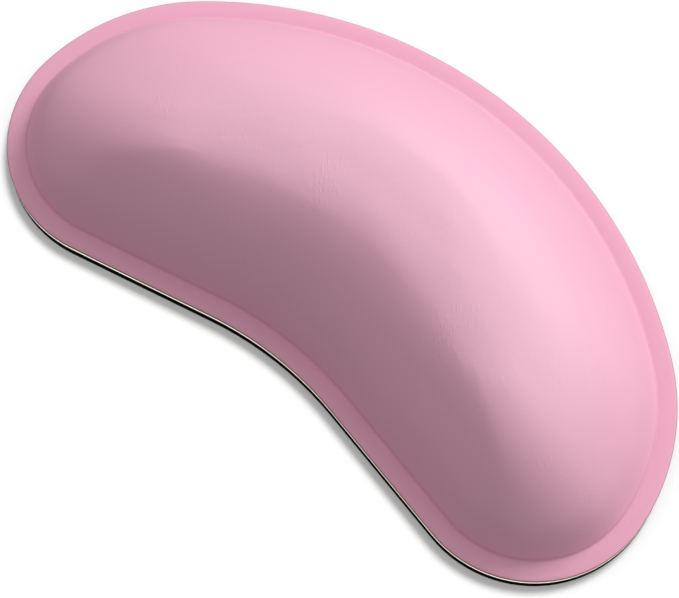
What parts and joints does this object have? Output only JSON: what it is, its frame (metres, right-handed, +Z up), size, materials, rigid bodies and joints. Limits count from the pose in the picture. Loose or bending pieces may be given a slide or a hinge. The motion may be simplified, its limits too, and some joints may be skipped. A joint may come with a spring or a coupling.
{
  "type": "wrist rest",
  "caption": "Bean-shaped memory-foam wrist rest with a soft leather-look cover, pressed flat rim and non-slip underside, for mouse or keyboard use.",
  "frame": {"origin": "middle of the rest's length and depth, on the underside that lies on the table", "axes": "+X along the rest's length, +Y towards its convex side, +Z up from the table"},
  "size_m": [0.15, 0.0782, 0.0259],
  "materials": {
    "base_rubber": "black non-slip rubber sheet, matt, moulded dimples on the underside",
    "adhesive": "cured hot-melt film, pale amber",
    "foam": "slow-recovery polyurethane memory foam, cream",
    "backing": "cream lining laminated to the leather-look film, cut edge bare",
    "skin": "pink leather-look polyurethane film, fine grain, soft satin sheen"
  },
  "bodies": {
    "root": {"base_sheet": "base_rubber", "adhesive_film": "adhesive", "foam_core": "foam", "cover_backing": "backing", "cover_skin": "skin"}
  },
  "joints": []
}
